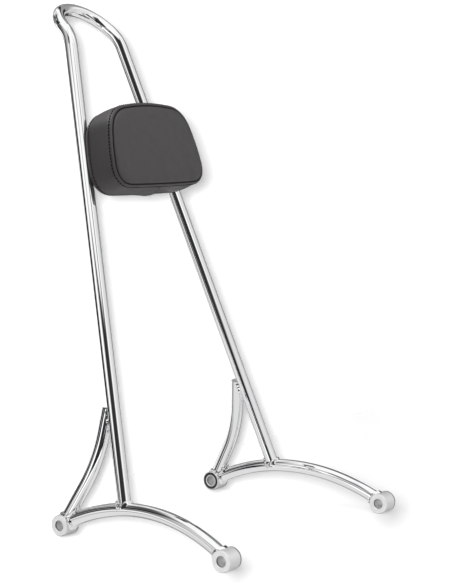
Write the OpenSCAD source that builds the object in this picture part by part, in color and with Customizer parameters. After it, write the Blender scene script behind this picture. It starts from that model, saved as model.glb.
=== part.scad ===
// Tall backrest hoop (sissy bar) with a small pad, in millimetres.
// The bike's front is at -Y, its left side at +X, and the four bolt bungs stand on Z = 0.
// The origin is the middle of the whole bar's footprint.

/* [Bar stock] */
// Diameter of the round bar used for the hoop, the arches and the gussets
bar_d = 12.7; // [11:0.1:14]

// Amount by which a bend draws the bar's radius in
bend_thinning = 0.02; // [0.01:0.01:0.05]

/* [Bolt bungs] */
// Distance between the rear and the front bolt axes
bolt_spacing = 203; // [190:1:220]
// Distance from the middle of the bar to the middle of a rear bung
rear_bung_offset = 123.5; // [112:0.5:135]
// Distance from the middle of the bar to the middle of a front bung
front_bung_offset = 136.5; // [125:0.5:150]
// Outside diameter of a bung
bung_d = 20.5; // [19:0.5:25]
// Length of a bung along its bolt
bung_l = 18; // [17.5:0.5:26]
// Diameter of the bolt hole
bolt_hole_d = 10; // [8:0.1:11]
// Chamfer on the rims of a bung
bung_chamfer = 0.6; // [0.3:0.1:1]

/* [Side arches] */
// Height of the arch's middle above the line between its bolt axes
arch_rise = 27.3; // [22:0.1:34]
// Angle at which each side frame leans inwards
side_lean = 9.75; // [7:0.25:12]

/* [Hoop] */
// Distance of the upright's foot in front of the rear bolt axis, along the arch's chord
foot_offset = 75.7; // [68:0.1:84]
// Angle at which the uprights rake to the rear within the side frame
rake = 17.5; // [14:0.5:20]
// Length of the straight upright, from the arch's centreline to the kick bend
upright_l = 467.5; // [440:0.5:480]
// Angle by which the kick bend tips the bow to the rear
kick_angle = 32.5; // [20:0.5:45]
// Centreline radius of the kick bend
kick_r = 38; // [28:1:50]
// Straight length between the kick bend and the bow
neck_l = 5; // [2:0.5:15]

/* [Gussets] */
// Where the gusset's lower run would cross the line of the bolt axes, in front of the rear one
gusset_aim = -1.5; // [-4:0.5:1]
// Angle of the gusset's lower run from upright
gusset_angle = 29; // [27:0.5:31]
// Height at which the gusset's bend starts
gusset_bend_at = 40; // [35:1:44]
// Centreline radius of the gusset's bend
gusset_r = 140; // [120:5:145]
// Angle of the gusset's upper run from upright
gusset_top_angle = 6.5; // [4:0.5:8]
// Height of the gusset's flat upper end
gusset_top = 117; // [112:0.5:122]

/* [Welds] */
// Leg length of the weld beads between the bars
weld_leg = 2.2; // [1.5:0.1:2.5]
// Leg length of the weld beads on the pad tabs
tab_weld_leg = 1.6; // [1:0.1:2]

/* [Pad tabs] */
// Thickness of a pad tab
tab_t = 3; // [2:0.5:4]
// Height of a pad tab along the upright
tab_h = 18; // [14:1:20]
// Distance from the upright's axis to the tab's screw
tab_reach = 17; // [15:0.5:22]
// Distance between the two screws of one upright
tab_pitch = 40; // [30:1:44]
// Diameter of the tab's screw hole
tab_hole_d = 6.6; // [6.3:0.1:7]

/* [Pad] */
// Height of the pad's middle above the foot of the uprights, along the hoop
pad_at = 343; // [300:1:380]
// Height of the pad
pad_h = 81; // [72:1:90]
// Width of the pad at its middle height
pad_w = 130.5; // [124:0.5:136]
// Depth of the pad
pad_depth = 39; // [34:0.5:46]
// Radius of the pad's two lower corners
pad_low_r = 18; // [12:1:22]
// Radius of the pad's two upper corners
pad_high_r = 31; // [22:1:34]
// Thickness of the vinyl
vinyl_t = 1.2; // [0.8:0.1:1.6]
// Thickness of the pad's board
board_t = 9; // [8:0.5:12]

/* [Pad fasteners] */
// Thread diameter of a pad screw
screw_d = 6; // [5:0.5:6]
// Length of a pad screw under its head
screw_l = 14; // [13.5:0.5:14.5]
// Diameter of a pad screw's head
screw_head_d = 10.5; // [9:0.5:12]
// Height of a pad screw's head
screw_head_h = 3.3; // [2.5:0.1:4]
// Width of the hexagon socket across its flats
socket_w = 4; // [3:0.5:5]
// Depth of the hexagon socket
socket_depth = 2; // [1.5:0.1:2.2]
// Thickness of a lock washer
washer_t = 1.5; // [1:0.1:2]
// Outside diameter of a lock washer
washer_d = 10.8; // [10:0.1:12]
// Gap around the screw inside its lock washer
washer_gap = 0.15; // [0.1:0.05:0.3]
// Outside diameter of a tee nut's barrel
tee_barrel_d = 8.4; // [7.6:0.2:9]
// Diameter of a tee nut's flange
tee_flange_d = 18; // [14:1:20]
// Thickness of a tee nut's flange
tee_flange_t = 1.5; // [1:0.1:2]

/* [Hidden] */
$fn = 160;
bar_r = bar_d / 2;
// Straight runs reach this far into the bends next to them
lap = 0.4;
// The pad's straight sides lie this far inside its corner circles
side_inset = 0.01;
bung_r = bung_d / 2;
chrome = [0.83, 0.84, 0.85];
satin_chrome = [0.7, 0.71, 0.72];
vinyl = [0.11, 0.11, 0.115];
foam = [0.75, 0.72, 0.6];
board = [0.16, 0.14, 0.12];
zinc = [0.62, 0.63, 0.65];
black_steel = [0.08, 0.08, 0.08];
// Side frame: its forward direction, its leaning up direction and the arch's chord
splay = atan((front_bung_offset - rear_bung_offset) / bolt_spacing);
chord = norm([front_bung_offset - rear_bung_offset, bolt_spacing]);
side_forward = [sin(splay), -cos(splay), 0];
side_up = [-sin(side_lean) * cos(splay), -sin(side_lean) * sin(splay), cos(side_lean)];
arch_r = (chord * chord / 4 + arch_rise * arch_rise) / (2 * arch_rise);
arch_half_angle = asin(chord / 2 / arch_r);
// Foot of the upright on the arch's centreline
foot_rise = arch_rise - arch_r + sqrt(arch_r * arch_r - pow(foot_offset - chord / 2, 2));
foot = [rear_bung_offset, 0, 0] + foot_offset * side_forward + foot_rise * side_up;
// Direction of the left upright, and the plane in which both uprights lie
upright_dir = cos(rake) * side_up - sin(rake) * side_forward;
hoop_tilt = atan2(upright_dir[1], upright_dir[2]);
converge = asin(-upright_dir[0]);
// Path of the left half of the hoop in its own plane: X to the left, Y up, Z to the front
leg_in = [-sin(converge), cos(converge), 0];
leg_out = [-sin(converge), cos(converge) * cos(kick_angle), -cos(converge) * sin(kick_angle)];
leg_back = [leg_out[0], -leg_out[1], -leg_out[2]];
foot_flat = [foot[0], 0, 0];
kick_start = foot_flat + upright_l * leg_in;
kick_end = bend_end(kick_start, leg_in, leg_out, kick_r);
bow_start = kick_end + neck_l * leg_out;
bow_r = bow_start[0] / cos(converge);
bow_top = bow_start + bow_r * [-cos(converge), 0, 0] + bow_r * (1 - sin(converge)) * leg_up(leg_out);
// Rearmost point of the bow, and the middle of the footprint that the origin stands on
bow_rear = foot[1] + bow_top[1] * sin(hoop_tilt) - bow_top[2] * cos(hoop_tilt) + bar_r;
middle_y = (bow_rear - bolt_spacing - bung_r) / 2;
// Levels in front of the plane of the uprights, from the screw heads to the pad's front
pad_back = bar_r;
tab_back = pad_back - tab_t;
head_front = tab_back - washer_t;
board_back = pad_back + vinyl_t;
foam_back = board_back + board_t;
foam_front = pad_back + pad_depth - vinyl_t;

function leg_up(d) = [0, d[1], d[2]] / norm([0, d[1], d[2]]);
function turn(d_in, d_out) = acos(d_in * d_out);
function inward(d_in, d_out) = (d_out - (d_in * d_out) * d_in) / sin(turn(d_in, d_out));
function bend_end(p, d_in, d_out, r) =
  p + r * (1 - cos(turn(d_in, d_out))) * inward(d_in, d_out) + r * sin(turn(d_in, d_out)) * d_in;

module stand() {
  translate([0, -middle_y, bung_r]) children();
}

// Frame of one side: X forward along the chord, Y up in the leaning plane, origin at the rear bolt
module side_frame() {
  stand()
    translate([rear_bung_offset, 0, 0])
      rotate([0, 0, splay])
        rotate([0, -side_lean, 0])
          rotate([0, 0, -90])
            rotate([90, 0, 0])
              children();
}

// Frame of the hoop: X to the left, Y up along the hoop, Z out of its front
module hoop_frame() {
  stand()
    translate([0, foot[1], foot[2]])
      rotate([90 - hoop_tilt, 0, 0])
        children();
}

// Round bar from a point in a given direction
module bar_from(p, d, length, r = bar_r) {
  a = cross([0, 0, 1], d) / norm(cross([0, 0, 1], d));
  b = cross(d, a);
  multmatrix([
    [a[0], b[0], d[0], p[0]],
    [a[1], b[1], d[1], p[1]],
    [a[2], b[2], d[2], p[2]]
  ])
    cylinder(h = length, r = r);
}

// Straight run between two bends or after one, lapped into what it joins
module run_from(p, d, length, lap_start, lap_end, r = bar_r) {
  bar_from(p - lap_start * d, d, length + lap_start + lap_end, r);
}

// Round bar bent from one direction to another, starting at a point
module bend_from(p, d_in, d_out, bend_r, r = bar_r) {
  m = inward(d_in, d_out);
  c = p + bend_r * m;
  w = cross(-m, d_in);
  multmatrix([
    [-m[0], d_in[0], w[0], c[0]],
    [-m[1], d_in[1], w[1], c[1]],
    [-m[2], d_in[2], w[2], c[2]]
  ])
    rotate_extrude(angle = turn(d_in, d_out))
      translate([bend_r, 0])
        circle(r = r - bend_thinning);
}

// Left arch from bolt axis to bolt axis, before it is coped to its bungs
module arch_bar(r = bar_r) {
  side_frame()
    translate([chord / 2, arch_rise - arch_r, 0])
      rotate([0, 0, 90 - arch_half_angle])
        rotate_extrude(angle = 2 * arch_half_angle)
          translate([arch_r, 0])
            circle(r = r);
}

module upright_bar(length, r = bar_r) {
  hoop_frame()
    bar_from(foot_flat, leg_in, length, r);
}

module barrel(offset, y, r) {
  stand()
    translate([offset - bung_l / 2, y, 0])
      rotate([0, 90, 0])
        cylinder(h = bung_l, r = r);
}

module rear_barrel(r = bung_r) {
  barrel(rear_bung_offset, 0, r);
}

module front_barrel(r = bung_r) {
  barrel(front_bung_offset, -bolt_spacing, r);
}

// Left gusset: straight lower run, long bend and straight upper run, before it is coped
module gusset_bar(r = bar_r, top = gusset_top) {
  low_dir = [sin(gusset_angle), cos(gusset_angle), 0];
  high_dir = [sin(gusset_top_angle), cos(gusset_top_angle), 0];
  low_run = gusset_bend_at / cos(gusset_angle);
  bend_start = [gusset_aim, 0, 0] + low_run * low_dir;
  bend_stop = bend_end(bend_start, low_dir, high_dir, gusset_r);
  side_frame() {
    run_from([gusset_aim, 0, 0], low_dir, low_run, 0, lap, r);
    bend_from(bend_start, low_dir, high_dir, gusset_r, r);
    run_from(bend_stop, high_dir, (top - bend_stop[1]) / cos(gusset_top_angle), lap, 0, r);
  }
}

module left_half_hoop() {
  upright_bar(upright_l + lap);
  hoop_frame() {
    bend_from(kick_start, leg_in, leg_out, kick_r);
    run_from(kick_end, leg_out, neck_l, lap, lap);
  }
}

module hoop() {
  color(chrome)
    difference() {
      union() {
        left_half_hoop();
        mirror([1, 0, 0]) left_half_hoop();
        hoop_frame() bend_from(bow_start, leg_out, leg_back, bow_r);
      }
      arch_bar();
      mirror([1, 0, 0]) arch_bar();
    }
}

module left_arch() {
  color(chrome)
    difference() {
      arch_bar();
      rear_barrel();
      front_barrel();
    }
}

module left_gusset() {
  color(chrome)
    difference() {
      gusset_bar();
      arch_bar();
      rear_barrel();
      upright_bar(upright_l);
    }
}

// Bung with a straight bolt hole and chamfered rims, along Z from its outer face
module bung() {
  hole_r = bolt_hole_d / 2;
  rotate_extrude()
    polygon([
      [hole_r, bung_chamfer],
      [hole_r + bung_chamfer, 0],
      [bung_r - bung_chamfer, 0],
      [bung_r, bung_chamfer],
      [bung_r, bung_l - bung_chamfer],
      [bung_r - bung_chamfer, bung_l],
      [hole_r + bung_chamfer, bung_l],
      [hole_r, bung_l - bung_chamfer]
    ]);
}

module left_rear_bung() {
  color(satin_chrome)
    stand()
      translate([rear_bung_offset - bung_l / 2, 0, 0])
        rotate([0, 90, 0])
          bung();
}

module left_front_bung() {
  color(satin_chrome)
    stand()
      translate([front_bung_offset - bung_l / 2, -bolt_spacing, 0])
        rotate([0, 90, 0])
          bung();
}

module left_foot_weld() {
  color(satin_chrome)
    difference() {
      intersection() {
        upright_bar(bar_d + weld_leg, bar_r + weld_leg);
        arch_bar(bar_r + weld_leg);
      }
      upright_bar(upright_l);
      arch_bar();
    }
}

module left_gusset_weld() {
  color(satin_chrome)
    difference() {
      intersection() {
        gusset_bar(bar_r + weld_leg, gusset_top - weld_leg);
        upright_bar(upright_l, bar_r + weld_leg);
      }
      gusset_bar();
      upright_bar(upright_l);
    }
}

module left_rear_weld() {
  color(satin_chrome)
    difference() {
      union() {
        intersection() {
          arch_bar(bar_r + weld_leg);
          rear_barrel(bung_r + weld_leg);
        }
        intersection() {
          gusset_bar(bar_r + weld_leg);
          rear_barrel(bung_r + weld_leg);
        }
        intersection() {
          gusset_bar(bar_r + weld_leg);
          arch_bar(bar_r + weld_leg);
        }
      }
      arch_bar();
      gusset_bar();
      rear_barrel();
    }
}

module left_front_weld() {
  color(satin_chrome)
    difference() {
      intersection() {
        arch_bar(bar_r + weld_leg);
        front_barrel(bung_r + weld_leg);
      }
      arch_bar();
      front_barrel();
    }
}

// Frames at the two pad screws of the left upright: X outwards, Y along the upright, Z to the front
module at_left_screws() {
  for (k = [-1, 1])
    hoop_frame()
      translate(foot_flat)
        rotate([0, 0, converge])
          translate([-tab_reach, pad_at / cos(converge) + k * tab_pitch / 2, 0])
            children();
}

module at_all_screws() {
  at_left_screws() children();
  mirror([1, 0, 0]) at_left_screws() children();
}

module left_pad_tabs() {
  color(chrome)
    difference() {
      at_left_screws()
        difference() {
          translate([0, 0, tab_back])
            union() {
              cylinder(h = tab_t, r = tab_h / 2);
              translate([0, -tab_h / 2, 0])
                cube([tab_reach - bar_r / 2, tab_h, tab_t]);
            }
          translate([0, 0, tab_back - 1])
            cylinder(h = tab_t + 2, r = tab_hole_d / 2);
        }
      upright_bar(upright_l);
    }
}

module left_tab_welds() {
  color(satin_chrome)
    difference() {
      intersection() {
        upright_bar(upright_l, bar_r + tab_weld_leg);
        at_left_screws()
          translate([0, -tab_h / 2, tab_back - tab_weld_leg])
            cube([tab_reach, tab_h, tab_weld_leg]);
      }
      upright_bar(upright_l);
    }
}

// Rounded outline of the pad with sides that follow the uprights, drawn in by an inset
module pad_outline(inset) {
  low_y = pad_low_r - pad_h / 2;
  high_y = pad_h / 2 - pad_high_r;
  low_x = pad_w / 2 - low_y * tan(converge) - pad_low_r / cos(converge);
  high_x = pad_w / 2 - high_y * tan(converge) - pad_high_r / cos(converge);
  low_r = pad_low_r - inset;
  high_r = pad_high_r - inset;
  low_s = low_r - side_inset;
  high_s = high_r - side_inset;
  side = [cos(converge), sin(converge)];
  for (k = [-1, 1]) {
    translate([k * low_x, low_y]) circle(r = low_r);
    translate([k * high_x, high_y]) circle(r = high_r);
  }
  polygon([
    [low_x, low_y - low_s],
    [low_x + low_s * side[0], low_y + low_s * side[1]],
    [high_x + high_s * side[0], high_y + high_s * side[1]],
    [high_x, high_y + high_s],
    [-high_x, high_y + high_s],
    [-high_x - high_s * side[0], high_y + high_s * side[1]],
    [-low_x - low_s * side[0], low_y + low_s * side[1]],
    [-low_x, low_y - low_s]
  ]);
}

// Slice of the pad between two levels in front of the uprights
module pad_slice(from, to, inset) {
  hoop_frame()
    translate([0, pad_at, from])
      linear_extrude(height = to - from)
        pad_outline(inset);
}

module pad_front_panel() {
  color(vinyl) pad_slice(foam_front, pad_back + pad_depth, 0);
}

module pad_boxing() {
  color(vinyl)
    difference() {
      pad_slice(pad_back, foam_front, 0);
      pad_slice(pad_back - 1, foam_front + 1, vinyl_t);
    }
}

module pad_back_panel() {
  color(vinyl)
    difference() {
      pad_slice(pad_back, board_back, vinyl_t);
      at_all_screws()
        translate([0, 0, pad_back - 1])
          cylinder(h = vinyl_t + 2, r = tab_hole_d / 2);
    }
}

module pad_foam() {
  color(foam) pad_slice(foam_back, foam_front, vinyl_t);
}

module pad_board() {
  color(board)
    difference() {
      pad_slice(board_back, foam_back, vinyl_t);
      at_all_screws() {
        translate([0, 0, board_back - 1])
          cylinder(h = board_t + 2, r = tee_barrel_d / 2);
        translate([0, 0, foam_back - tee_flange_t])
          cylinder(h = tee_flange_t + 1, r = tee_flange_d / 2);
      }
    }
}

module pad_tee_nuts() {
  color(zinc)
    at_all_screws()
      difference() {
        union() {
          translate([0, 0, board_back])
            cylinder(h = board_t, r = tee_barrel_d / 2);
          translate([0, 0, foam_back - tee_flange_t])
            cylinder(h = tee_flange_t, r = tee_flange_d / 2);
        }
        translate([0, 0, board_back - 1])
          cylinder(h = board_t + 2, r = screw_d / 2);
      }
}

// Button-head screw with a hexagon socket, its head behind the tab
module pad_screws() {
  dome_r = (screw_head_d * screw_head_d / 4 + screw_head_h * screw_head_h) / (2 * screw_head_h);
  color(black_steel)
    at_all_screws()
      difference() {
        union() {
          translate([0, 0, head_front])
            cylinder(h = screw_l, r = screw_d / 2);
          intersection() {
            translate([0, 0, head_front - screw_head_h])
              cylinder(h = screw_head_h, r = screw_head_d / 2);
            translate([0, 0, head_front - screw_head_h + dome_r])
              sphere(r = dome_r);
          }
        }
        translate([0, 0, head_front - screw_head_h - 1])
          cylinder(h = socket_depth + 1, r = socket_w / 2 / cos(30), $fn = 6);
      }
}

module pad_lock_washers() {
  color(zinc)
    at_all_screws()
      difference() {
        translate([0, 0, head_front])
          cylinder(h = washer_t, r = washer_d / 2);
        translate([0, 0, head_front - 1])
          cylinder(h = washer_t + 2, r = screw_d / 2 + washer_gap);
      }
}

hoop();
left_arch();
mirror([1, 0, 0]) left_arch();  // right_arch
left_gusset();
mirror([1, 0, 0]) left_gusset();  // right_gusset
left_rear_bung();
mirror([1, 0, 0]) left_rear_bung();  // right_rear_bung
left_front_bung();
mirror([1, 0, 0]) left_front_bung();  // right_front_bung
left_foot_weld();
mirror([1, 0, 0]) left_foot_weld();  // right_foot_weld
left_gusset_weld();
mirror([1, 0, 0]) left_gusset_weld();  // right_gusset_weld
left_rear_weld();
mirror([1, 0, 0]) left_rear_weld();  // right_rear_weld
left_front_weld();
mirror([1, 0, 0]) left_front_weld();  // right_front_weld
left_pad_tabs();
mirror([1, 0, 0]) left_pad_tabs();  // right_pad_tabs
left_tab_welds();
mirror([1, 0, 0]) left_tab_welds();  // right_tab_welds
pad_front_panel();
pad_boxing();
pad_back_panel();
pad_foam();
pad_board();
pad_tee_nuts();
pad_screws();
pad_lock_washers();
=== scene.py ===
import math
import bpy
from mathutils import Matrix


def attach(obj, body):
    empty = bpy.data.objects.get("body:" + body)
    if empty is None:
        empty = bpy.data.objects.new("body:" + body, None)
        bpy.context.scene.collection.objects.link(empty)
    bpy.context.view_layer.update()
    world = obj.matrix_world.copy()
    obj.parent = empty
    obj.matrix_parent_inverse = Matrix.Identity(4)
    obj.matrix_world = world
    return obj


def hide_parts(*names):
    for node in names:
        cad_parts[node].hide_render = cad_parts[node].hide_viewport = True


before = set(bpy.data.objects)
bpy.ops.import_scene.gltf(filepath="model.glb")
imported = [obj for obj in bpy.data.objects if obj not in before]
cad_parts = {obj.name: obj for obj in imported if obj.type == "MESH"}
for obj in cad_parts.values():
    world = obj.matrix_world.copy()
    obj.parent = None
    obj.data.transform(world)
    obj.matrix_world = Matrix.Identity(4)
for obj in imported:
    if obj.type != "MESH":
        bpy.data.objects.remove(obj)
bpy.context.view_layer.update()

from types import SimpleNamespace

import bmesh
import bpy
from mathutils import Matrix, Vector

bl_info = {
    "name": "Chrome Backrest Hoop",
    "version": (1, 0, 0),
    "blender": (4, 5, 0),
    "location": "3D View > Sidebar > Backrest",
    "description": "Finishes, padded backrest and photo studio for a motorcycle backrest hoop",
    "category": "Object",
}

MM = 0.001
BARS = ["hoop", "left_arch", "right_arch", "left_gusset", "right_gusset"]
TABS = ["left_pad_tabs", "right_pad_tabs"]
BUNGS = ["left_rear_bung", "left_front_bung", "right_rear_bung", "right_front_bung"]
WELDS = [
    "left_foot_weld", "right_foot_weld", "left_gusset_weld", "right_gusset_weld",
    "left_rear_weld", "right_rear_weld", "left_front_weld", "right_front_weld",
    "left_tab_welds", "right_tab_welds",
]
PAD_NODES = ["pad_front_panel", "pad_boxing", "pad_back_panel", "pad_foam"]

# The hoop's own plane in the shared frame: its foot, its lean back, the way up along it and out of its front,
# and how far each leg leans in within it
HOOP_FOOT = Vector((0.0, -0.02078, 0.03551))
HOOP_TILT = math.radians(17.134)
HOOP_UP = Vector((0.0, math.sin(HOOP_TILT), math.cos(HOOP_TILT)))
HOOP_FRONT = Vector((0.0, -math.cos(HOOP_TILT), math.sin(HOOP_TILT)))
LEG_LEAN = math.radians(10.393)

PHOTO_CAMERA = Vector((-1.28507, -0.97825, 0.39727))
LAMP_AIM = Vector((0.0, 0.0, 0.25))


def on_hoop(x, s, n):
    """Point of the shared frame from millimetres across, along and in front of the hoop."""
    return HOOP_FOOT + MM * (Vector((x, 0.0, 0.0)) + s * HOOP_UP + n * HOOP_FRONT)


# Sizes and colours

class BackrestPad(bpy.types.PropertyGroup):
    middle: bpy.props.FloatProperty(
        name="Middle", description="Height of the pad's middle along the hoop",
        default=343.0 * MM, unit="LENGTH")
    height: bpy.props.FloatProperty(
        name="Height", description="Height of the front panel between its flat runs",
        default=78.5 * MM, unit="LENGTH")
    width: bpy.props.FloatProperty(
        name="Width", description="Width of the pad at its middle height",
        default=130.5 * MM, unit="LENGTH")
    low_radius: bpy.props.FloatProperty(
        name="Lower corners", description="Radius of the two lower corners",
        default=17.0 * MM, unit="LENGTH")
    high_radius: bpy.props.FloatProperty(
        name="Upper corners", description="Radius of the two upper corners",
        default=29.0 * MM, unit="LENGTH")
    top_bow: bpy.props.FloatProperty(
        name="Top bow", description="How far the top run arches up",
        default=2.2 * MM, unit="LENGTH")
    bottom_bow: bpy.props.FloatProperty(
        name="Bottom bow", description="How far the bottom run sags",
        default=0.6 * MM, unit="LENGTH")
    side_bow: bpy.props.FloatProperty(
        name="Side bow", description="How far each side run swells",
        default=1.0 * MM, unit="LENGTH")
    softness: bpy.props.IntProperty(
        name="Softness", description="How often the outline is smoothed", default=8)
    back: bpy.props.FloatProperty(
        name="Back", description="Level of the back panel in front of the bars' middle",
        default=6.35 * MM, unit="LENGTH")
    seam_low: bpy.props.FloatProperty(
        name="Seam level, bottom", description="Level of the front seam at the pad's bottom",
        default=42.0 * MM, unit="LENGTH")
    seam_high: bpy.props.FloatProperty(
        name="Seam level, top", description="Level of the front seam at the pad's top",
        default=45.0 * MM, unit="LENGTH")
    crown: bpy.props.FloatProperty(
        name="Crown", description="Height of the front panel's middle over its rim",
        default=1.6 * MM, unit="LENGTH")
    flap: bpy.props.FloatProperty(
        name="Boxing join", description="How far the lapped end of the boxing stands out",
        default=2.2 * MM, unit="LENGTH")
    stitch_pitch: bpy.props.FloatProperty(
        name="Stitch pitch", description="Distance from stitch to stitch",
        default=3.4 * MM, unit="LENGTH")
    vinyl: bpy.props.FloatVectorProperty(
        name="Vinyl", description="Colour of the vinyl", subtype="COLOR", size=3,
        default=(0.041, 0.0385, 0.0385))


class BackrestMetal(bpy.types.PropertyGroup):
    chrome: bpy.props.FloatVectorProperty(
        name="Chrome", description="Colour of the plated bars", subtype="COLOR", size=3,
        default=(0.90, 0.905, 0.91))
    satin: bpy.props.FloatVectorProperty(
        name="Bungs", description="Colour of the plated bungs", subtype="COLOR", size=3,
        default=(0.9, 0.9, 0.895))
    # Darker colour inside the bolt holes: painted shade in the bores
    painted_bore_shade: bpy.props.FloatVectorProperty(
        name="Bores", description="Colour inside the bolt holes", subtype="COLOR", size=3,
        default=(0.8, 0.8, 0.8))
    side: bpy.props.FloatVectorProperty(
        name="Sleeve", description="Colour of the bungs' round side", subtype="COLOR", size=3,
        default=(0.69, 0.69, 0.69))
    ripple: bpy.props.FloatProperty(
        name="Weld ripple", description="Depth of the ripples in the weld beads",
        default=0.5 * MM, unit="LENGTH")


def pad_sizes(context):
    """The pad's values as they are set, with its lengths in millimetres."""
    group = context.scene.backrest_pad
    values = {}
    for name in group.__annotations__:
        value = getattr(group, name)
        is_length = group.bl_rna.properties[name].unit == "LENGTH"
        values[name] = value / MM if is_length else value
    return SimpleNamespace(**values)


# Node helpers

def new_material(name):
    mat = bpy.data.materials.new(name)
    mat.use_nodes = True
    mat.node_tree.nodes.clear()
    return mat


def add(tree, kind, **values):
    node = tree.nodes.new(kind)
    for key, value in values.items():
        setattr(node, key, value)
    return node


def math_node(tree, operation, first, second=None, third=None):
    """Output of a Math node whose inputs are numbers or other outputs."""
    node = add(tree, "ShaderNodeMath", operation=operation)
    for socket, value in zip(node.inputs, (first, second, third)):
        if value is None:
            continue
        if isinstance(value, (int, float)):
            socket.default_value = value
        else:
            tree.links.new(value, socket)
    return node.outputs[0]


def smooth_step(tree, value, low, high, out_low, out_high):
    """Output that goes softly from one value to another while the input goes from low to high."""
    node = add(tree, "ShaderNodeMapRange", interpolation_type="SMOOTHSTEP")
    tree.links.new(value, node.inputs["Value"])
    for key, number in (("From Min", low), ("From Max", high),
                        ("To Min", out_low), ("To Max", out_high)):
        node.inputs[key].default_value = number
    return node.outputs["Result"]


def surface(mat, **sockets):
    """A Principled surface with its output; returns the shader node."""
    tree = mat.node_tree
    shader = add(tree, "ShaderNodeBsdfPrincipled")
    out = add(tree, "ShaderNodeOutputMaterial")
    tree.links.new(shader.outputs[0], out.inputs["Surface"])
    for name, value in sockets.items():
        shader.inputs[name.replace("_", " ")].default_value = value
    return shader


def mix_colour(tree, mask, first, second):
    """Output of a colour mix; the first colour may be another output."""
    node = add(tree, "ShaderNodeMix", data_type="RGBA")
    factor, low, high = node.inputs[0], node.inputs[6], node.inputs[7]
    tree.links.new(mask, factor)
    if isinstance(first, bpy.types.NodeSocket):
        tree.links.new(first, low)
    else:
        low.default_value = (*first, 1.0)
    high.default_value = (*second, 1.0)
    return node.outputs[2]


def paint(names, mat):
    """Gives a material to CAD nodes."""
    for name in names:
        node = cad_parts[name]
        node.data.materials.clear()
        node.data.materials.append(mat)


# Shared effects

def surface_waves():
    """Group: slow waves and fine scuffs in a plated or moulded surface, as a height and a roughness."""
    group = bpy.data.node_groups.get("Surface Waves")
    if group:
        return group
    group = bpy.data.node_groups.new("Surface Waves", "ShaderNodeTree")
    for name in ("Wave Scale", "Scuff Scale", "Roughness Low", "Roughness High"):
        group.interface.new_socket(name, in_out="INPUT", socket_type="NodeSocketFloat")
    for name in ("Height", "Roughness"):
        group.interface.new_socket(name, in_out="OUTPUT", socket_type="NodeSocketFloat")
    inputs = add(group, "NodeGroupInput").outputs
    outputs = add(group, "NodeGroupOutput").inputs
    place = add(group, "ShaderNodeTexCoord").outputs["Object"]
    wave = add(group, "ShaderNodeTexNoise")
    scuff = add(group, "ShaderNodeTexNoise")
    wave.inputs["Detail"].default_value = 1.0
    scuff.inputs["Detail"].default_value = 4.0
    group.links.new(place, wave.inputs["Vector"])
    group.links.new(place, scuff.inputs["Vector"])
    group.links.new(inputs["Wave Scale"], wave.inputs["Scale"])
    group.links.new(inputs["Scuff Scale"], scuff.inputs["Scale"])
    spread = add(group, "ShaderNodeMapRange")
    group.links.new(scuff.outputs["Fac"], spread.inputs["Value"])
    spread.inputs["From Min"].default_value = 0.35
    spread.inputs["From Max"].default_value = 0.7
    group.links.new(inputs["Roughness Low"], spread.inputs["To Min"])
    group.links.new(inputs["Roughness High"], spread.inputs["To Max"])
    group.links.new(wave.outputs["Fac"], outputs["Height"])
    group.links.new(spread.outputs["Result"], outputs["Roughness"])
    return group


def waves_in(mat, shader, wave, scuff, low, high, depth):
    """Puts the shared waves into a material: their scales, the roughness from low to high and the depth."""
    tree = mat.node_tree
    node = add(tree, "ShaderNodeGroup", node_tree=surface_waves())
    for name, value in (("Wave Scale", wave), ("Scuff Scale", scuff),
                        ("Roughness Low", low), ("Roughness High", high)):
        node.inputs[name].default_value = value
    bump = add(tree, "ShaderNodeBump")
    bump.inputs["Strength"].default_value = 1.0
    bump.inputs["Distance"].default_value = depth
    tree.links.new(node.outputs["Height"], bump.inputs["Height"])
    tree.links.new(node.outputs["Roughness"], shader.inputs["Roughness"])
    tree.links.new(bump.outputs[0], shader.inputs["Normal"])
    return bump


# Metal

class BACKREST_OT_chrome_bars(bpy.types.Operator):
    """Bright chrome for the hoop, the arches, the gussets and the pad tabs"""
    bl_idname = "backrest.chrome_bars"
    bl_label = "Chrome bars"

    def execute(self, context):
        metal = context.scene.backrest_metal
        mat = new_material("bright_chrome")
        shader = surface(mat, Base_Color=(*metal.chrome, 1.0), Metallic=1.0)
        waves_in(mat, shader, wave=30.0, scuff=240.0, low=0.004, high=0.012, depth=0.03 * MM)
        paint(BARS + TABS, mat)
        return {"FINISHED"}


# Millimetres on a bung where its colour changes: the bore's edge, where shade is painted in the bolt hole, the
# sleeve's edge, and the edges of the painted shade at the hole's mouth and along the underside and of the
# painted dark reflections round the far rim and in one bung's ring. The bore's edge, the sleeve's and the
# ring's two are measured out from the bolt line, the underside up from it, and the mouth and the far rim along
# the sleeve from the end that is away from the studio's camera.
BORE_EDGE, SLEEVE_EDGE = (5.0, 5.3), (9.7, 10.1)
MOUTH, UNDERSIDE, FAR_RIM = (15.2, 16.8), (-9.0, -7.6), (1.5, 2.4)
PAINTED_RING_INSIDE, PAINTED_RING_OUTSIDE = (6.0, 6.6), (8.8, 9.4)
PAINTED_RING_BUNG = "left_rear_bung"
# Near black for the painted shade and the painted dark reflections on the bungs
BUNG_PAINTED_SHADE_AND_REFLECTION = (0.04, 0.04, 0.04)


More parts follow.
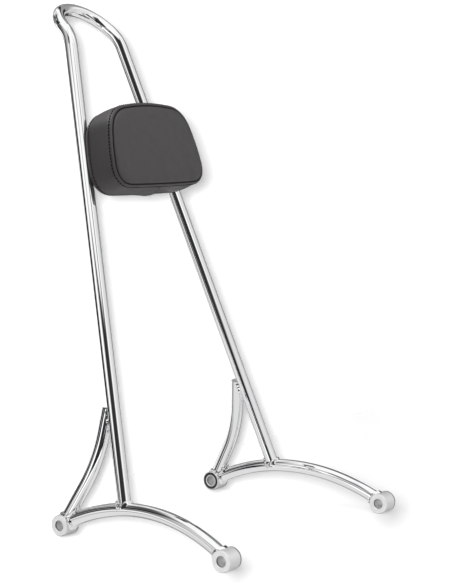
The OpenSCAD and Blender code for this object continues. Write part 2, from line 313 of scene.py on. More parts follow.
def bung_material(bung, metal):
    """Pale satin plating, with shade painted into the bore's colour and darker round the sleeve.

    It has painted shade at the hole's mouth and along the underside, a painted dark reflection round the far
    rim, and on one bung a painted dark reflection ring on its face.
    """
    mat = new_material(bung.name + "_satin_painted_shade")
    tree = mat.node_tree
    shader = surface(mat, Metallic=0.38)
    waves_in(mat, shader, wave=90.0, scuff=400.0, low=0.34, high=0.36, depth=0.002 * MM)
    low, high = (Vector(map(pick, zip(*bung.bound_box))) for pick in (min, max))
    bolt = (low + high) / 2
    split = add(tree, "ShaderNodeSeparateXYZ")
    tree.links.new(add(tree, "ShaderNodeTexCoord").outputs["Object"], split.inputs[0])
    along = math_node(tree, "SUBTRACT", split.outputs["Y"], bolt.y)
    up = math_node(tree, "SUBTRACT", split.outputs["Z"], bolt.z)
    depth = math_node(tree, "SUBTRACT", high.x, split.outputs["X"])
    radius = math_node(tree, "SQRT", math_node(
        tree, "ADD", math_node(tree, "MULTIPLY", along, along), math_node(tree, "MULTIPLY", up, up)))

    def past(value, edge):
        return smooth_step(tree, value, edge[0] * MM, edge[1] * MM, 0.0, 1.0)

    def short_of(value, edge):
        return smooth_step(tree, value, edge[0] * MM, edge[1] * MM, 1.0, 0.0)

    painted_bore_shade, side = short_of(radius, BORE_EDGE), past(radius, SLEEVE_EDGE)
    # Painted shade at the mouth and along the underside, and a painted dark reflection round the far rim
    painted_darks = [(painted_bore_shade, past(depth, MOUTH)), (side, short_of(up, UNDERSIDE)), (side, short_of(depth, FAR_RIM))]
    # One bung also gets a painted dark reflection ring on its face
    if bung.name == PAINTED_RING_BUNG:
        painted_darks.append((past(radius, PAINTED_RING_INSIDE), short_of(radius, PAINTED_RING_OUTSIDE)))
    # Shade painted into the bore's colour
    colour = mix_colour(tree, painted_bore_shade, metal.satin, metal.painted_bore_shade)
    colour = mix_colour(tree, side, colour, metal.side)
    for first, second in painted_darks:
        colour = mix_colour(tree, math_node(tree, "MULTIPLY", first, second), colour, BUNG_PAINTED_SHADE_AND_REFLECTION)
    tree.links.new(colour, shader.inputs["Base Color"])
    return mat


class BACKREST_OT_bungs(bpy.types.Operator):
    """Pale satin finish for the bolt bungs"""
    bl_idname = "backrest.bungs"
    bl_label = "Bolt bungs"

    def execute(self, context):
        for name in BUNGS:
            paint([name], bung_material(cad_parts[name], context.scene.backrest_metal))
        return {"FINISHED"}


class BACKREST_OT_welds(bpy.types.Operator):
    """Lumpy plated weld beads"""
    bl_idname = "backrest.welds"
    bl_label = "Weld beads"

    def execute(self, context):
        metal = context.scene.backrest_metal
        mat = new_material("plated_weld")
        tree = mat.node_tree
        shader = surface(mat, Base_Color=(*metal.chrome, 1.0), Metallic=1.0)
        bump = waves_in(mat, shader, wave=170.0, scuff=500.0, low=0.02, high=0.05, depth=metal.ripple * 3.0)
        cells = add(tree, "ShaderNodeTexVoronoi", feature="SMOOTH_F1")
        cells.inputs["Scale"].default_value = 240.0
        tree.links.new(add(tree, "ShaderNodeTexCoord").outputs["Object"], cells.inputs["Vector"])
        drops = add(tree, "ShaderNodeBump", invert=True)
        drops.inputs["Distance"].default_value = metal.ripple * 1.6
        tree.links.new(cells.outputs["Distance"], drops.inputs["Height"])
        tree.links.new(bump.outputs[0], drops.inputs["Normal"])
        tree.links.new(drops.outputs[0], shader.inputs["Normal"])
        paint(WELDS, mat)
        return {"FINISHED"}


class BACKREST_OT_fasteners(bpy.types.Operator):
    """Finishes of the board, the tee nuts, the lock washers and the screws behind the pad"""
    bl_idname = "backrest.fasteners"
    bl_label = "Pad board and fasteners"

    def execute(self, context):
        wood = new_material("dark_plywood")
        tree = wood.node_tree
        shader = surface(wood, Roughness=0.7)
        grain = add(tree, "ShaderNodeTexNoise")
        grain.inputs["Scale"].default_value = 60.0
        ramp = add(tree, "ShaderNodeValToRGB")
        ramp.color_ramp.elements[0].color = (0.05, 0.035, 0.025, 1)
        ramp.color_ramp.elements[1].color = (0.12, 0.09, 0.06, 1)
        tree.links.new(add(tree, "ShaderNodeTexCoord").outputs["Object"], grain.inputs["Vector"])
        tree.links.new(grain.outputs["Fac"], ramp.inputs["Fac"])
        tree.links.new(ramp.outputs["Color"], shader.inputs["Base Color"])
        paint(["pad_board"], wood)
        zinc = new_material("zinc_plate")
        shader = surface(zinc, Base_Color=(0.62, 0.63, 0.65, 1), Metallic=1.0)
        waves_in(zinc, shader, wave=300.0, scuff=900.0, low=0.25, high=0.45, depth=0.04 * MM)
        paint(["pad_tee_nuts", "pad_lock_washers"], zinc)
        oxide = new_material("black_oxide")
        shader = surface(oxide, Base_Color=(0.02, 0.02, 0.021, 1), Metallic=0.6)
        waves_in(oxide, shader, wave=300.0, scuff=900.0, low=0.3, high=0.45, depth=0.04 * MM)
        paint(["pad_screws"], oxide)
        return {"FINISHED"}


# Pad

def evenly(loop, count):
    """Evenly spaced points along a closed loop, and its length."""
    size = len(loop)
    steps = [(loop[(k + 1) % size] - loop[k]).length for k in range(size)]
    length = sum(steps)
    points, k, passed = [], 0, 0.0
    for i in range(count):
        goal = length * i / count
        while passed + steps[k] < goal:
            passed += steps[k]
            k += 1
        points.append(loop[k].lerp(loop[(k + 1) % size], (goal - passed) / steps[k]))
    return points, length


OUTLINE_POINTS = 240
RUN_STEPS, LOW_CORNER_STEPS, HIGH_CORNER_STEPS, TOP_STEPS = 30, 30, 40, 60


def pad_outline(pad, count, inset):
    """Evenly spaced points round the pad and its length, drawn in by an inset.

    The points start in the middle of the bottom and go to the left.
    """
    tan_lean, cos_lean, sin_lean = math.tan(LEG_LEAN), math.cos(LEG_LEAN), math.sin(LEG_LEAN)
    half_h, low_r, high_r = pad.height / 2, pad.low_radius, pad.high_radius
    low_y, high_y = low_r - half_h, half_h - high_r
    low_x = pad.width / 2 - low_y * tan_lean - low_r / cos_lean
    high_x = pad.width / 2 - high_y * tan_lean - high_r / cos_lean
    half = []

    def run(a, b, normal, bow, steps, low=0.0):
        for k in range(steps):
            t = low + (1.0 - low) * k / steps
            u = 2.0 * t - 1.0
            half.append(Vector(a).lerp(Vector(b), t) + Vector(normal) * bow * (1.0 - u * u))

    def corner(x, y, radius, start, stop, steps):
        for k in range(steps):
            a = start + (stop - start) * k / steps
            half.append(Vector((x + radius * math.cos(a), y + radius * math.sin(a))))

    run((-low_x, -half_h), (low_x, -half_h), (0.0, -1.0), pad.bottom_bow, RUN_STEPS, 0.5)
    corner(low_x, low_y, low_r, -math.pi / 2, LEG_LEAN, LOW_CORNER_STEPS)
    run((low_x + low_r * cos_lean, low_y + low_r * sin_lean),
        (high_x + high_r * cos_lean, high_y + high_r * sin_lean),
        (cos_lean, sin_lean), pad.side_bow, RUN_STEPS)
    corner(high_x, high_y, high_r, LEG_LEAN, math.pi / 2, HIGH_CORNER_STEPS)
    run((high_x, half_h), (-high_x, half_h), (0.0, 1.0), pad.top_bow, TOP_STEPS)
    # The top run is kept up to its middle, and the other half of the pad mirrors this one
    half = half[:1 - TOP_STEPS // 2]
    loop = evenly(half + [Vector((-p.x, p.y)) for p in reversed(half[1:-1])], OUTLINE_POINTS)[0]
    for _ in range(pad.softness):
        after = loop[1:] + loop[:1]
        loop = [(loop[k - 1] + 2.0 * loop[k] + after[k]) / 4.0 for k in range(OUTLINE_POINTS)]
    drawn = []
    for k, point in enumerate(loop):
        along = loop[(k + 1) % OUTLINE_POINTS] - loop[k - 1]
        drawn.append(point - inset * Vector((along.y, -along.x)).normalized())
    return evenly(drawn, count)


def seam_level(pad, y):
    """Level of the front seam at a height over the pad's middle."""
    t = min(max(y / pad.height + 0.5, 0.0), 1.0)
    return pad.seam_low + (pad.seam_high - pad.seam_low) * t


# Rows from the back panel to the front one: inset, share of the way to the front seam, extra level and drop
# in millimetres, and how strong the shade painted into the vinyl's colour is in the seam
PAD_ROWS = [
    (14.0, 0.0, 0.0, 0.0, 0.0), (8.0, 0.0, 0.0, 0.0, 0.0), (4.5, 0.0, 0.05, 0.0, 0.0),
    (2.2, 0.0, 0.45, 0.3, 0.0), (0.4, 0.0, 1.45, 0.6, 0.0), (-0.9, 0.0, 2.95, 0.8, 0.0),
    (-2.0, 0.0, 5.0, 0.9, 0.0), (-2.55, 0.0, 6.7, 0.9, 0.1), (-1.85, 0.0, 7.5, 0.9, 0.7),
    (-2.75, 0.0, 8.3, 0.8, 0.1), (-3.15, 0.33, 0.0, 0.6, 0.0), (-3.4, 0.45, 0.0, 0.4, 0.0),
    (-3.3, 0.58, 0.0, 0.2, 0.0), (-3.0, 0.7, 0.0, 0.0, 0.0), (-2.7, 0.8, 0.0, 0.0, 0.0),
    (-2.5, 1.0, -5.2, 0.0, 0.0), (-2.35, 1.0, -4.0, 0.0, 0.0), (-1.55, 1.0, -3.2, 0.0, 0.3),
    (-2.3, 1.0, -2.5, 0.0, 0.0), (-2.25, 1.0, -1.4, 0.1, 0.0), (-1.75, 1.0, -0.5, 0.3, 0.0),
    (-0.95, 1.0, -0.05, 0.5, 0.0), (-0.1, 1.0, -0.15, 0.7, 0.2), (0.45, 1.0, -0.9, 0.8, 0.9),
    (0.8, 1.0, -1.6, 0.8, 1.0), (1.1, 1.0, -0.6, 0.8, 0.9), (1.35, 1.0, 0.4, 0.7, 0.0),
    (2.2, 1.0, 1.2, 0.6, 0.0), (3.4, 1.0, 1.9, 0.4, 0.0), (5.6, 1.0, 2.55, 0.2, 0.0),
    (9.0, 1.0, 3.15, 0.0, 0.0), (13.0, 1.0, 3.6, 0.0, 0.0),
]
REAR_SEAM_ROW, STITCH_ROW, FRONT_SEAM_ROW = 8, 17, 24


def pad_row(pad, row, count):
    """Points round the cover at one of its rows."""
    inset, share, extra, drop = PAD_ROWS[row][:4]
    ring = []
    for point in pad_outline(pad, count, inset)[0]:
        seam = seam_level(pad, point.y)
        level = pad.back + share * (seam - pad.back) + extra
        ring.append(on_hoop(point.x, pad.middle - drop + point.y, level))
    return ring


# Near black for the shade painted into the vinyl along the seams and the stitch groove
PAINTED_SEAM_SHADE = (0.004, 0.004, 0.004)


def vinyl_material(name, colour, specular):
    """Grained vinyl with a soft sheen, with shade painted into its colour where the mesh's shade attribute
    says.
    """
    mat = new_material(name)
    tree = mat.node_tree
    shader = surface(mat, Specular_IOR_Level=specular)
    shade = add(tree, "ShaderNodeAttribute", attribute_name="seam_shade")
    seam_shaded_colour = mix_colour(tree, shade.outputs["Fac"], colour, PAINTED_SEAM_SHADE)
    tree.links.new(seam_shaded_colour, shader.inputs["Base Color"])
    grain = add(tree, "ShaderNodeTexVoronoi", feature="SMOOTH_F1")
    grain.inputs["Scale"].default_value = 1700.0
    tree.links.new(add(tree, "ShaderNodeTexCoord").outputs["Object"], grain.inputs["Vector"])
    bump = waves_in(mat, shader, wave=38.0, scuff=120.0, low=0.42, high=0.52, depth=0.8 * MM)
    fine = add(tree, "ShaderNodeBump")
    fine.inputs["Distance"].default_value = 0.05 * MM
    fine.inputs["Strength"].default_value = 0.6
    tree.links.new(grain.outputs["Distance"], fine.inputs["Height"])
    tree.links.new(bump.outputs[0], fine.inputs["Normal"])
    tree.links.new(fine.outputs[0], shader.inputs["Normal"])
    return mat


# Points round each row of the cover
COVER_POINTS = 160
# How far the crown keeps off the pad's nominal outline, in millimetres
CROWN_MARGIN = 12.0


class BACKREST_OT_pad_cover(bpy.types.Operator):
    """Padded vinyl cover: back panel, boxing and crowned front panel with their seams"""
    bl_idname = "backrest.pad_cover"
    bl_label = "Pad cover"

    def execute(self, context):
        pad = pad_sizes(context)
        count = COVER_POINTS
        bpy.ops.object.select_all(action="DESELECT")
        bpy.ops.mesh.primitive_circle_add(vertices=count, radius=0.05, fill_type="NOTHING")
        cover = context.object
        cover.name = cover.data.name = "pad_cover"
        first = pad_row(pad, 0, count)
        for vertex, point in zip(cover.data.vertices, first):
            vertex.co = point
        cover.location = (0.0, 0.0, 0.0)
        seams = {row: cover.vertex_groups.new(name=name) for row, name in (
            (REAR_SEAM_ROW, "rear_seam"), (STITCH_ROW, "stitch_row"), (FRONT_SEAM_ROW, "front_seam"))}
        bpy.ops.object.mode_set(mode="EDIT")
        bpy.ops.mesh.select_mode(type="EDGE")
        for row in range(1, len(PAD_ROWS)):
            bpy.ops.mesh.extrude_edges_move(TRANSFORM_OT_translate={"value": tuple(HOOP_FRONT * MM)})
            shape = bmesh.from_edit_mesh(cover.data)
            shape.verts.ensure_lookup_table()
            moved = [v for v in shape.verts if v.select]
            for vertex, point in zip(sorted(moved, key=lambda v: v.index), pad_row(pad, row, count)):
                vertex.co = point
            bmesh.update_edit_mesh(cover.data)
        bpy.ops.mesh.fill_grid(span=count // 4)
        bpy.ops.mesh.select_all(action="DESELECT")
        shape = bmesh.from_edit_mesh(cover.data)
        for edge in shape.edges:
            edge.select = edge.is_boundary
        bmesh.update_edit_mesh(cover.data)
        bpy.ops.mesh.fill_grid(span=count // 4)
        bpy.ops.mesh.select_all(action="SELECT")
        bpy.ops.mesh.normals_make_consistent(inside=False)
        bpy.ops.object.mode_set(mode="OBJECT")
        for row, group in seams.items():
            group.add(list(range(row * count, (row + 1) * count)), 1.0, "REPLACE")
        # Shade painted into the vinyl's colour, row by row, as strong as the rows say
        shade = cover.data.attributes.new("seam_shade", "FLOAT", "POINT")
        for row, (*_, painted_shade) in enumerate(PAD_ROWS):
            for k in range(row * count, (row + 1) * count):
                shade.data[k].value = painted_shade
        # The front panel's inner grid rises to its crown
        for vertex in cover.data.vertices:
            local = vertex.co - HOOP_FOOT
            x, s, n = local.x / MM, local.dot(HOOP_UP) / MM, local.dot(HOOP_FRONT) / MM
            if vertex.index < len(PAD_ROWS) * count or n < (pad.back + pad.seam_low) / 2:
                continue
            y = s - pad.middle
            u = abs(x) / (pad.width / 2 - y * math.tan(LEG_LEAN) - CROWN_MARGIN)
            v = abs(y) / (pad.height / 2 - CROWN_MARGIN)
            rise = max(0.0, 1.0 - u * u) * max(0.0, 1.0 - v * v)
            vertex.co += HOOP_FRONT * MM * pad.crown * rise
        smooth = cover.modifiers.new("finish", "SUBSURF")
        smooth.levels = smooth.render_levels = 1
        bpy.ops.object.modifier_apply(modifier="finish")
        bpy.ops.object.shade_smooth()
        cover.data.materials.append(vinyl_material("black_vinyl", pad.vinyl, 0.45))
        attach(cover, "root")
        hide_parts(*PAD_NODES)
        return {"FINISHED"}


# Edge of the lapped end of the boxing under the pad: millimetres across, and in front of the bars' middle
FLAP_EDGE = [
    (-1.0, 38.0), (0.0, 35.0), (1.5, 31.5), (4.0, 27.0), (7.0, 22.0), (8.5, 17.0), (6.5, 12.0), (1.5, 8.5),
]
FLAP_WIDTH, FLAP_DROP, FLAP_THICKNESS = 26.0, 6.0, 1.8
FLAP_COLUMNS, FLAP_ROWS = 13, 22


class BACKREST_OT_join_flap(bpy.types.Operator):
    """Lapped end of the boxing strip under the pad"""
    bl_idname = "backrest.join_flap"
    bl_label = "Boxing join"

    def execute(self, context):
        pad = pad_sizes(context)
        columns, rows = FLAP_COLUMNS, FLAP_ROWS
        bpy.ops.object.select_all(action="DESELECT")
        bpy.ops.mesh.primitive_grid_add(x_subdivisions=columns - 1, y_subdivisions=rows - 1, size=1.0)
        flap = context.object
        flap.name = flap.data.name = "pad_join_flap"
        lift = flap.vertex_groups.new(name="lift")
        for index, vertex in enumerate(flap.data.vertices):
            along, across = divmod(index, columns)
            place = (len(FLAP_EDGE) - 1) * along / (rows - 1)
            k = min(int(place), len(FLAP_EDGE) - 2)
            x, n = Vector(FLAP_EDGE[k]).lerp(Vector(FLAP_EDGE[k + 1]), place - k)
            away = across / (columns - 1)
            vertex.co = on_hoop(x - FLAP_WIDTH * away, pad.middle - pad.height / 2 - FLAP_DROP, n)
            weight = (1.0 - away) ** 1.4 * min(1.0, 0.25 + along / 5.0)
            lift.add([index], weight, "REPLACE")
        # Shade is painted into the vinyl's colour along the free edge
        shade = flap.data.attributes.new("seam_shade", "FLOAT", "POINT")
        for index in range(0, columns * rows, columns):
            shade.data[index].value = 1.0
            shade.data[index + 1].value = 0.8
        wrap = flap.modifiers.new("wrap", "SHRINKWRAP")
        wrap.target = bpy.data.objects["pad_cover"]
        wrap.wrap_method = "PROJECT"
        wrap.use_project_z = True
        wrap.use_positive_direction = True
        push = flap.modifiers.new("push", "DISPLACE")
        push.direction = "Z"
        push.mid_level = 0.0
        push.strength = -pad.flap * MM
        push.vertex_group = "lift"
        body = flap.modifiers.new("body", "SOLIDIFY")
        body.thickness = FLAP_THICKNESS * MM
        body.offset = -1.0
        smooth = flap.modifiers.new("finish", "SUBSURF")
        smooth.levels = smooth.render_levels = 1
        for name in ("wrap", "push", "body", "finish"):
            bpy.ops.object.modifier_apply(modifier=name)
        bpy.ops.object.shade_smooth()
        flap.data.materials.append(bpy.data.materials["black_vinyl"])
        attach(flap, "root")
        return {"FINISHED"}


# A stitch's half length as a share of the pitch, and its flatness
STITCH_SHARE, STITCH_FLATNESS = 0.31, 0.8


def stitch_row(name, pad, row, lift, thickness, mat):
    """A row of short stitches along one row of the cover, joined to one piece."""
    centre = on_hoop(0.0, pad.middle, (pad.back + pad.seam_high) / 2)
    length = pad_outline(pad, 4, PAD_ROWS[row][0])[1]
    number = round(length / pad.stitch_pitch)
    ring = pad_row(pad, row, number * 2)
    before = pad_row(pad, row - 1, number * 2)
    after = pad_row(pad, row + 1, number * 2)
    bpy.ops.object.select_all(action="DESELECT")
    bpy.ops.mesh.primitive_uv_sphere_add(segments=8, ring_count=6, radius=1.0)
    seed = bpy.context.object
    copies = []
    for i in range(number):
        a, b = ring[2 * i], ring[(2 * i + 1) % (2 * number)]
        along = (b - a).normalized()
        out = along.cross(after[2 * i] - before[2 * i]).normalized()
        middle = (a + b) / 2
        if out.dot(middle - centre) < 0:
            out.negate()
        side = out.cross(along)
        turn = Matrix((along, side, out)).transposed().to_4x4()
        size = Matrix.Diagonal(
            (pad.stitch_pitch * STITCH_SHARE * MM, thickness * MM, thickness * STITCH_FLATNESS * MM, 1.0))
        copy = seed.copy()
        copy.data = seed.data.copy()
        bpy.context.collection.objects.link(copy)
        copy.data.transform(Matrix.Translation(middle + out * lift * MM) @ turn @ size)
        copies.append(copy)
    bpy.data.objects.remove(seed)
    for copy in copies:
        copy.select_set(True)
    bpy.context.view_layer.objects.active = copies[0]
    bpy.ops.object.join()
    row_piece = bpy.context.object
    row_piece.name = row_piece.data.name = name
    bpy.ops.object.shade_smooth()
    row_piece.data.materials.append(mat)
    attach(row_piece, "root")
    return row_piece


class BACKREST_OT_stitches(bpy.types.Operator):
    """Stitches beside the front seam and along the rear seam"""
    bl_idname = "backrest.stitches"
    bl_label = "Stitches"

    def execute(self, context):
        pad = pad_sizes(context)
        thread = new_material("black_thread")
        shader = surface(thread, Base_Color=(0.005, 0.005, 0.005, 1), Specular_IOR_Level=0.15)
        waves_in(thread, shader, wave=900.0, scuff=2500.0, low=0.6, high=0.8, depth=0.1 * MM)
        brown = new_material("brown_thread")
        shader = surface(brown, Base_Color=(0.028, 0.014, 0.011, 1), Specular_IOR_Level=0.15)
        waves_in(brown, shader, wave=900.0, scuff=2500.0, low=0.6, high=0.8, depth=0.1 * MM)
        stitch_row("pad_front_stitches", pad, STITCH_ROW, 0.8, 0.8, thread)
        stitch_row("pad_rear_stitches", pad, REAR_SEAM_ROW, 0.8, 0.6, brown)
        return {"FINISHED"}


# Studio

PANEL_INPUTS = (
    "Middle Azimuth", "Middle Elevation", "Half Width", "Half Height", "Slope", "Soft Width", "Soft Height")


def studio_panel():
    """Group: a soft-edged panel of the studio round the object, by azimuth and elevation in degrees."""
    group = bpy.data.node_groups.new("Studio Panel", "ShaderNodeTree")
    for name in ("Azimuth", "Elevation", *PANEL_INPUTS):
        group.interface.new_socket(name, in_out="INPUT", socket_type="NodeSocketFloat")
    group.interface.new_socket("Mask", in_out="OUTPUT", socket_type="NodeSocketFloat")
    inputs = add(group, "NodeGroupInput").outputs
    outputs = add(group, "NodeGroupOutput").inputs
    turn = math_node(group, "SUBTRACT", inputs["Azimuth"], inputs["Middle Azimuth"])
    across = math_node(group, "WRAP", turn, 180.0, -180.0)
    rise = math_node(group, "SUBTRACT", inputs["Elevation"], inputs["Middle Elevation"])
    up = math_node(group, "SUBTRACT", rise, math_node(group, "MULTIPLY", across, inputs["Slope"]))
    masks = []
    for value, half, soft in ((across, "Half Width", "Soft Width"), (up, "Half Height", "Soft Height")):
        edge = math_node(group, "SUBTRACT", math_node(group, "ABSOLUTE", value), inputs[half])
        masks.append(smooth_step(group, math_node(group, "DIVIDE", edge, inputs[soft]), -0.5, 0.5, 1.0, 0.0))
    group.links.new(math_node(group, "MULTIPLY", *masks), outputs["Mask"])
    return group


# The studio's panels, each over the ones before it. The azimuth is 0 behind the object, 90 on its left, 180
# in front and 270 on its right. Each has its azimuth, elevation, half width and half height in degrees, its
# slope, the softness of its ends and of its long edges in degrees, and its brightness.
STUDIO_PANELS = {
    "front_left_grey": (138, 6, 36, 27, 0.8, 23, 14, 0.74),
    "back_left_dim": (60, 0, 56, 43, 0.2, 31, 11, 0.31),
    "back_left_high_dark": (62, 49, 24, 6, 0.3, 14, 9, 0),
    "back_grey": (356, 12, 26, 40, 1.1, 10, 10, 0.69),
    "front_right_dark": (246, 4, 40, 27, -0.05, 6, 2, 0.03),
    "right_white": (284, 15, 16, 30, -0.75, 3, 6, 1.15),
    "back_right_dark": (331, 11, 19, 25, -1.05, 15, 9, 0.01),
    "right_high_grey": (267, 41, 14, 16, -1.35, 6, 15, 0.62),
    "back_high_dark": (342, 45, 20, 11, 0.15, 10, 15, 0.08),
    "front_low_strip": (231, -23, 51, 4, 0, 12, 3, 1.15),
    "left_low_grey": (120, -8, 26, 19, 0.25, 21, 6, 0.62),
    "front_white": (195, 5, 7, 30, -0.15, 7, 7, 1.15),
    "back_left_dark": (58, -4, 12, 28, 1.85, 17, 12, 0.06),
    "front_high_dark": (201, 28, 7, 13, -0.25, 8, 6, 0.11),
    "front_grey_strip": (205, 2, 18, 4, -0.4, 7, 7, 0.7),
    "right_back_dark": (299, -4, 11, 13, 0, 7, 11, 0),
    "back_right_low_dark": (318, -19, 10, 2, 0.65, 15, 4, 0),
    "front_low_dark": (197, -10, 14, 10, -0.2, 7, 4, 0.01),
    "back_dark": (0, 14, 17, 15, -0.6, 9, 4, 0.08),
    "right_dark_strip": (278, 11, 12, 4, -0.6, 6, 3, 0.02),
    "back_low_white": (10, -12, 14, 11, -0.3, 6, 9, 1.15),
    "right_back_high_grey": (293, 37, 19, 11, -0.4, 7, 4, 0.53),
    "back_grey_strip": (344, 13, 29, 2, -0.15, 7, 7, 0.41),
    "right_back_low_white": (293, -5, 8, 5, 0, 3, 5, 1.15),
    "back_right_low_spot": (329, -14, 6, 5, -0.7, 4, 3, 0),
    "back_right_low_strip": (329, -7, 16, 3, -0.15, 11, 2, 1.08),
    "right_floor_dark": (291, -38, 6, 7, 0.35, 5, 5, 0),
    "front_floor_grey": (191, -48, 20, 12, -1.7, 6, 6, 0.37),
    "front_right_low_dark": (233, -19, 18, 3, 0, 6, 3, 0),
    "right_high_dark": (272, 41, 12, 7, 0, 4, 5, 0.01),
    "left_dark": (75, 5, 12, 25, 0, 5, 5, 0.03),
}
FLOOR_LIGHT, SKY_LIGHT, HORIZON, HORIZON_SOFTNESS = 0.72, 0.96, 19.5, 3.5
# What the chrome returns of the light that falls on it, and the studio's even light on all that isn't shiny
CHROME_SHARE, EVEN_LIGHT = 0.9, 0.2


def pale_sheet(name, glow_near, clearness):
    """Pale sheet that keeps the part's shadow near it and is plain white to the camera away from it.

    The clearness is how much of what lies behind it the camera sees. Its back can't be seen at all.
    """
    mat = new_material(name)
    tree = mat.node_tree
    rays = add(tree, "ShaderNodeLightPath")
    diffuse = add(tree, "ShaderNodeBsdfDiffuse")
    diffuse.inputs["Color"].default_value = (0.8, 0.8, 0.8, 1.0)
    glow = add(tree, "ShaderNodeEmission")
    reach = add(tree, "ShaderNodeVectorMath", operation="LENGTH")
    tree.links.new(add(tree, "ShaderNodeTexCoord").outputs["Object"], reach.inputs[0])
    white = smooth_step(tree, reach.outputs["Value"], 0.6, 1.1, glow_near, 1.0)
    tree.links.new(math_node(tree, "MULTIPLY", rays.outputs["Is Camera Ray"], white), glow.inputs["Strength"])
    both = add(tree, "ShaderNodeAddShader")
    tree.links.new(diffuse.outputs[0], both.inputs[0])
    tree.links.new(glow.outputs[0], both.inputs[1])
    unseen = math_node(tree, "MAXIMUM", rays.outputs["Is Glossy Ray"],
                       add(tree, "ShaderNodeNewGeometry").outputs["Backfacing"])
    veil = math_node(tree, "MULTIPLY", rays.outputs["Is Camera Ray"], clearness)
    clear = add(tree, "ShaderNodeBsdfTransparent")
    mix = add(tree, "ShaderNodeMixShader")
    out = add(tree, "ShaderNodeOutputMaterial")
    tree.links.new(math_node(tree, "MAXIMUM", unseen, veil), mix.inputs[0])
    tree.links.new(both.outputs[0], mix.inputs[1])
    tree.links.new(clear.outputs[0], mix.inputs[2])
    tree.links.new(mix.outputs[0], out.inputs["Surface"])
    return mat


def light_group(name, objects, state="INCLUDE"):
    """Collection that says which objects a lamp lights, or leaves out."""
    group = bpy.data.collections.new(name)
    for thing in objects:
        group.objects.link(thing)
    for entry in group.collection_objects:
        entry.light_linking.link_state = state
    return group


def area_lamp(context, name, place, size, power, lights):
    """Square lamp aimed at the middle of the object, for the objects of a light group."""
    data = bpy.data.lights.new(name, "AREA")
    data.size = size
    data.energy = power
    lamp = bpy.data.objects.new(name, data)
    context.collection.objects.link(lamp)
    lamp.location = place
    lamp.rotation_euler = (LAMP_AIM - Vector(place)).to_track_quat("-Z", "Y").to_euler()
    lamp.visible_glossy = lamp.visible_camera = False
    lamp.light_linking.receiver_collection = lights
    return lamp


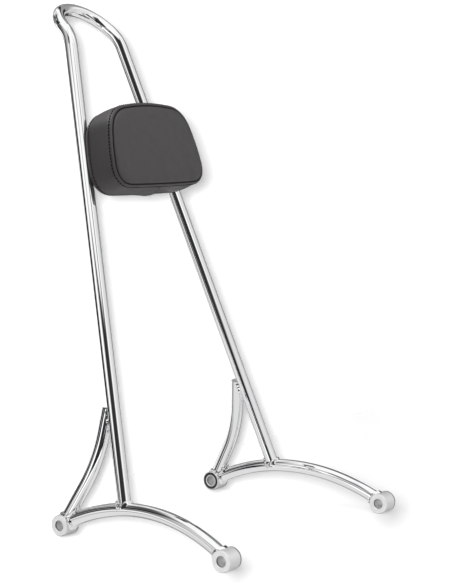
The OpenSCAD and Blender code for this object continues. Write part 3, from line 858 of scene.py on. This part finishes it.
class BACKREST_OT_studio(bpy.types.Operator):
    """Pale floor, leaning sheet, white studio with dark panels, lamps and the photo's camera"""
    bl_idname = "backrest.studio"
    bl_label = "Studio"

    def execute(self, context):
        scene = context.scene
        scene.view_settings.view_transform = "Standard"
        self.world(scene)
        self.floor(context)
        self.lamps(context)
        self.camera(context)
        return {"FINISHED"}

    def world(self, scene):
        world = bpy.data.worlds.new("studio")
        scene.world = world
        world.use_nodes = True
        tree = world.node_tree
        tree.nodes.clear()
        split = add(tree, "ShaderNodeSeparateXYZ")
        tree.links.new(add(tree, "ShaderNodeTexCoord").outputs["Generated"], split.inputs[0])
        turn = math_node(tree, "ARCTAN2", split.outputs["X"], split.outputs["Y"])
        azimuth = math_node(tree, "DEGREES", turn)
        elevation = math_node(tree, "DEGREES", math_node(tree, "ARCSINE", split.outputs["Z"]))
        edge = HORIZON_SOFTNESS / 2
        light = smooth_step(tree, elevation, HORIZON - edge, HORIZON + edge, FLOOR_LIGHT, SKY_LIGHT)
        group = studio_panel()
        for name, (*shape, brightness) in STUDIO_PANELS.items():
            panel = add(tree, "ShaderNodeGroup", node_tree=group, label=name)
            tree.links.new(azimuth, panel.inputs["Azimuth"])
            tree.links.new(elevation, panel.inputs["Elevation"])
            for socket, value in zip(PANEL_INPUTS, shape):
                panel.inputs[socket].default_value = value
            mix = add(tree, "ShaderNodeMix", data_type="FLOAT")
            tree.links.new(panel.outputs["Mask"], mix.inputs["Factor"])
            tree.links.new(light, mix.inputs["A"])
            mix.inputs["B"].default_value = brightness
            light = mix.outputs["Result"]
        rays = add(tree, "ShaderNodeLightPath")
        studio = add(tree, "ShaderNodeBackground")
        plain = add(tree, "ShaderNodeBackground")
        white = add(tree, "ShaderNodeBackground")
        for node in (studio, plain, white):
            node.inputs["Color"].default_value = (1.0, 1.0, 1.0, 1.0)
        tree.links.new(math_node(tree, "DIVIDE", light, CHROME_SHARE), studio.inputs["Strength"])
        plain.inputs["Strength"].default_value = EVEN_LIGHT
        shiny = add(tree, "ShaderNodeMixShader")
        seen = add(tree, "ShaderNodeMixShader")
        out = add(tree, "ShaderNodeOutputWorld")
        tree.links.new(rays.outputs["Is Glossy Ray"], shiny.inputs[0])
        tree.links.new(plain.outputs[0], shiny.inputs[1])
        tree.links.new(studio.outputs[0], shiny.inputs[2])
        tree.links.new(rays.outputs["Is Camera Ray"], seen.inputs[0])
        tree.links.new(shiny.outputs[0], seen.inputs[1])
        tree.links.new(white.outputs[0], seen.inputs[2])
        tree.links.new(seen.outputs[0], out.inputs["Surface"])

    def floor(self, context):
        bpy.ops.object.select_all(action="DESELECT")
        bpy.ops.mesh.primitive_plane_add(size=8.0, location=(0.0, 0.0, 0.0))
        floor = context.object
        floor.name = "studio_floor"
        floor.data.materials.append(pale_sheet("white_floor", 0.58, 0.78))
        floor.visible_shadow = False
        # A sheet leans back behind the hoop and catches the shadow of the lamp beside the camera
        bpy.ops.mesh.primitive_plane_add(
            size=8.0, location=(0.0, 0.175, 0.0), rotation=(math.pi / 2 - HOOP_TILT, 0.0, 0.0))
        sheet = context.object
        sheet.name = "studio_sheet"
        sheet.data.materials.append(pale_sheet("white_sheet", 0.25, 0.0))
        sheet.visible_shadow = sheet.visible_diffuse = sheet.visible_glossy = False
        sheet_only = light_group("sheet_only", [sheet])
        area_lamp(context, "shadow_lamp", (-1.308, -0.946, 0.428), 0.085, 62.0, sheet_only)

    def lamps(self, context):
        """Two lamps for the whole part, one more for the bungs alone and two more for the pad alone"""
        sheet = bpy.data.objects["studio_sheet"]
        pad_pieces = ("pad_cover", "pad_join_flap", "pad_front_stitches", "pad_rear_stitches")
        all_but_sheet = light_group("all_but_sheet", [sheet], "EXCLUDE")
        bungs_only = light_group("bungs_only", [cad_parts[name] for name in BUNGS])
        pad_only = light_group("pad_only", [bpy.data.objects[name] for name in pad_pieces])
        area_lamp(context, "key_lamp", (-0.8, -0.9, 2.5), 2.0, 63.0, all_but_sheet)
        area_lamp(context, "fill_lamp", (1.2, -1.9, 1.3), 1.8, 16.0, all_but_sheet)
        area_lamp(context, "side_lamp", (-2.0, -0.6, 0.5), 0.8, 13.0, bungs_only)
        area_lamp(context, "bounce_lamp", (0.0, -0.35, -0.6), 0.8, 10.0, pad_only)
        rim = area_lamp(context, "rim_lamp", (-0.3, 0.65, 1.4), 0.5, 6.0, pad_only)
        rim.visible_glossy = True

    def camera(self, context):
        data = bpy.data.cameras.new("photo_camera")
        data.lens = 100.2
        data.sensor_width = 36.0
        camera = bpy.data.objects.new("photo_camera", data)
        context.collection.objects.link(camera)
        camera.location = PHOTO_CAMERA
        camera.rotation_euler = (math.radians(90.0 - 5.922), 0.0, math.radians(-54.111))
        context.scene.camera = camera


class BACKREST_PT_sidebar(bpy.types.Panel):
    """Sizes, colours and steps of the backrest hoop"""
    bl_idname = "BACKREST_PT_sidebar"
    bl_label = "Backrest hoop"
    bl_space_type = "VIEW_3D"
    bl_region_type = "UI"
    bl_category = "Backrest"

    def draw(self, context):
        column = self.layout.column()
        for group in (context.scene.backrest_pad, context.scene.backrest_metal):
            for name in group.__annotations__:
                column.prop(group, name)
        for step in STEPS:
            column.operator(step.bl_idname)


STEPS = (
    BACKREST_OT_chrome_bars,
    BACKREST_OT_bungs,
    BACKREST_OT_welds,
    BACKREST_OT_fasteners,
    BACKREST_OT_pad_cover,
    BACKREST_OT_join_flap,
    BACKREST_OT_stitches,
    BACKREST_OT_studio,
)
CLASSES = (BackrestPad, BackrestMetal, *STEPS, BACKREST_PT_sidebar)


def register():
    for cls in CLASSES:
        bpy.utils.register_class(cls)
    bpy.types.Scene.backrest_pad = bpy.props.PointerProperty(type=BackrestPad)
    bpy.types.Scene.backrest_metal = bpy.props.PointerProperty(type=BackrestMetal)


def unregister():
    del bpy.types.Scene.backrest_metal
    del bpy.types.Scene.backrest_pad
    for cls in reversed(CLASSES):
        bpy.utils.unregister_class(cls)


def main():
    register()
    bpy.ops.backrest.chrome_bars()
    bpy.ops.backrest.bungs()
    bpy.ops.backrest.welds()
    bpy.ops.backrest.fasteners()
    bpy.ops.backrest.pad_cover()
    bpy.ops.backrest.join_flap()
    bpy.ops.backrest.stitches()
    bpy.ops.backrest.studio()


if __name__ == "__main__":
    main()
